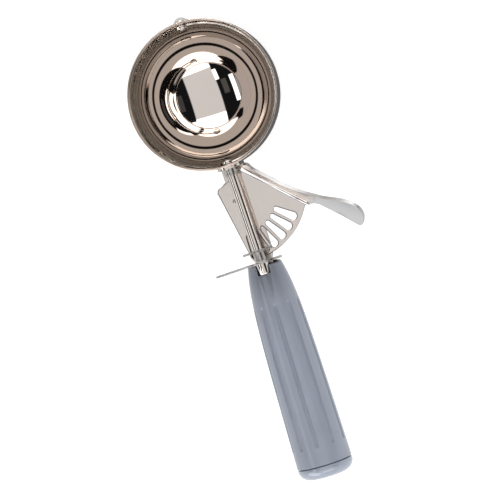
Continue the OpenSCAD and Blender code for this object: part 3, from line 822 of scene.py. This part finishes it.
# patches of the sky, each laid over the ones before it: (x0, x1, y0, y1) in degrees from straight up
SKY = [
    ((-15, 70, 30, 70), SOFTBOX),
    ((-15, 70, -70, -43), SOFTBOX),
    ((34, 70, -40, 34), DARK),
    ((-15, 34, -44, 30.5), CEILING),
    ((-45, -38, -21, 21), SOFTBOX),
    ((-52, -45, -14, 17), (0.5, 0.48, 0.46)),
    ((-31, -22, -19, 4), (0.12, 0.115, 0.11)),
    ((-21, -15, -38, -21), SOFTBOX),
    ((46, 56, -16, 12), (0.08, 0.078, 0.075)),
]
# patches that only light mirrored twice or more comes from
TWICE_SKY = [((34, 70, -32, 12), (1.0, 0.97, 0.98)), ((-62, -50, -24, 22), SOFTBOX)]
# arcs of the sky from one turn to another that only light mirrored three times comes from
THRICE_ARCS = [(-118, -28, (4.0, 3.9, 3.8)), (90, 150, (1.9, 1.9, 1.9))]


def make_floor():
    """White paper, with a painted shadow close to the bowl that only metal sees."""
    r, z = FLOOR_R, (AXIS_Z - BOWL_R) * MM - FLOOR_GAP
    mesh = bpy.data.meshes.new("floor")
    mesh.from_pydata([(-r, -r, z), (r, -r, z), (r, r, z), (-r, r, z)], [], [(0, 1, 2, 3)])
    obj = link(bpy.data.objects.new("floor", mesh))
    m = Skin("floor_paper", (0.8, 0.8, 0.8), 0.0, 0.9)
    m.bsdf.inputs["Specular IOR Level"].default_value = 0.1
    m.finish(m.blend(m.noise(m.coord, 40, 3, 0.5), (0.78, 0.78, 0.78), (0.82, 0.82, 0.82)))
    paths = m.node("ShaderNodeLightPath").outputs
    mirrored = m.math("MAXIMUM", paths["Is Glossy Ray"], paths["Is Transmission Ray"])
    distance = m.vec("LENGTH", m.scaled((1, 1, 0)))
    glow = m.node("ShaderNodeEmission")
    # metal sees the paper glow evenly but for a painted shadow close to the bowl, where the glow and the lit
    # paper fade
    level = m.product(mirrored, m.span(distance, *FLOOR_SHADOW_SPAN, 0.13, 0.85))
    m.put(glow.inputs["Strength"], m.math("ADD", m.product(paths["Is Camera Ray"], 0.45), level))
    unseen = m.product(mirrored, m.span(distance, *FLOOR_SHADOW_SPAN, 0.97, 0.75))
    paper = m.mix_shader(unseen, m.bsdf.outputs[0], None)
    both = m.fill(m.node("ShaderNodeAddShader"), paper, glow.outputs[0])[0]
    m.put(m.tree.nodes["Material Output"].inputs["Surface"], both)
    obj.data.materials.append(m.mat)


def make_world():
    """Studio round the object: a pale ceiling between two soft boxes and dark sides, and pale walls.

    Ray Depth is one more than the number of bounces, so light of a depth over 2.5 was mirrored twice or more.
    """
    world = bpy.data.worlds.new("studio")
    bpy.context.scene.world = world
    world.use_nodes = True
    world.cycles.sampling_method = "NONE"
    world.node_tree.nodes.clear()
    m = Nodes(world.node_tree)
    direction = m.node("ShaderNodeTexCoord").outputs["Generated"]
    x, y, z = m.xyz(direction)
    flat = m.math("MAXIMUM", m.math("SQRT", m.math("ADD", m.product(x, x), m.product(y, y))), 1e-5)
    tilt = m.math("DEGREES", m.math("ARCCOSINE", z))
    turn = m.math("DEGREES", m.math("ARCTAN2", y, x))
    across = m.product(tilt, m.math("DIVIDE", x, flat))
    along = m.product(tilt, m.math("DIVIDE", y, flat))

    def past(value, edge, soft):
        return m.span(value, edge - soft, edge + soft)

    def before(value, edge, soft):
        return m.span(value, edge + soft, edge - soft)

    def within(value, low, high, soft):
        return m.product(past(value, low, soft), before(value, high, soft))

    def patch(x0, x1, y0, y1):
        return m.product(within(across, x0, x1, 0.8), within(along, y0, y1, 0.8))

    def background(color, strength):
        return m.fill(m.node("ShaderNodeBackground"), color, strength)[0]

    paths = m.node("ShaderNodeLightPath").outputs
    depth = paths["Ray Depth"]
    twice = past(depth, 2.5, 0.1)

    color = DARK
    for area, shade in SKY:
        color = m.blend(patch(*area), color, shade)
    color = m.blend(past(tilt, 61, 1.5), color, WALL)
    side = m.math("ABSOLUTE", turn)
    dark_sides = m.math("MAXIMUM", before(side, 42, 3), past(side, 140, 3))
    color = m.blend(m.product(within(tilt, 57, 73, 1), dark_sides), color, DARK)
    color = m.blend(m.product(within(tilt, 53, 84, 1), within(turn, -157, -112, 2)), color, SOFTBOX)
    for area, shade in TWICE_SKY:
        color = m.blend(m.product(patch(*area), twice), color, shade)
    band = m.product(within(tilt, 22, 44, 1), within(depth, 3.5, 4.5, 0.1))
    for start, end, shade in THRICE_ARCS:
        color = m.blend(m.product(band, within(turn, start, end, 5)), color, shade)
    # the dark disc of the camera's lens, which light mirrored twice or more shows
    lens = m.vec("DOT_PRODUCT", direction, (math.sin(CAMERA_TILT), 0, math.cos(CAMERA_TILT)))
    lens = m.math("DEGREES", m.math("ARCCOSINE", m.math("MINIMUM", lens, 1.0)))
    color = m.blend(m.product(before(lens, 6.5, 1.0), twice), color, DARK)
    color = m.blend(twice, color, (1.13, 1.06, 1.02), "MULTIPLY")
    # from the fourth bounce on the studio is one pale room. It gets cooler and brighter with the bounces,
    # since the real rim loses less light there than the shader does
    color = m.blend(m.product(past(depth, 4.5, 0.1), past(lens, 4.0, 1.0)), color, (1.0, 0.95, 0.9))
    color = m.blend(m.span(depth, 5, 10), color, (0.95, 1.22, 1.42), "MULTIPLY")
    color = m.blend(past(tilt, 90, 1.0), color, GROUND)
    gain = m.math("POWER", 1.38, m.math("MAXIMUM", m.math("SUBTRACT", depth, 5.0), 0.0))

    # matt surfaces get soft light, which is stronger from low down and from the handle's end
    level = m.product(m.span(tilt, 35, 60, 0.84, 1.32), m.math("SUBTRACT", 1.0, m.product(y, 0.85)))
    seen = m.mix_shader(paths["Is Glossy Ray"], background(WHITE, level), background(color, gain))
    pick = m.mix_shader(paths["Is Camera Ray"], seen, background(WHITE, 1.0))
    m.put(m.node("ShaderNodeOutputWorld").inputs["Surface"], pick)


def make_camera():
    """Camera of the photograph's frame, 500 pixels wide, rolled by 18.7 degrees."""
    focal, sensor, picture = 2200, 36, 500
    roll_cos, roll_sin = 0.9472, 0.3206
    at = Vector((173.45, -74.53, 993.98)) * MM
    level_right = Vector((math.cos(CAMERA_TILT), 0, -math.sin(CAMERA_TILT)))
    level_up = Vector((0, 1, 0))
    back = Vector((math.sin(CAMERA_TILT), 0, math.cos(CAMERA_TILT)))
    right = roll_cos * level_right - roll_sin * level_up
    up = roll_sin * level_right + roll_cos * level_up
    data = bpy.data.cameras.new("camera")
    data.sensor_width, data.lens = sensor, focal * sensor / picture
    data.clip_start, data.clip_end = 0.05, 50
    cam = link(bpy.data.objects.new("camera", data))
    turn = Matrix((right, up, back)).transposed().to_4x4()
    cam.matrix_world = Matrix.Translation(at) @ turn
    bpy.context.scene.camera = cam


make_floor()
make_world()
make_camera()
bpy.context.scene.view_settings.view_transform = "Standard"
bpy.context.scene.cycles.glossy_bounces = 14
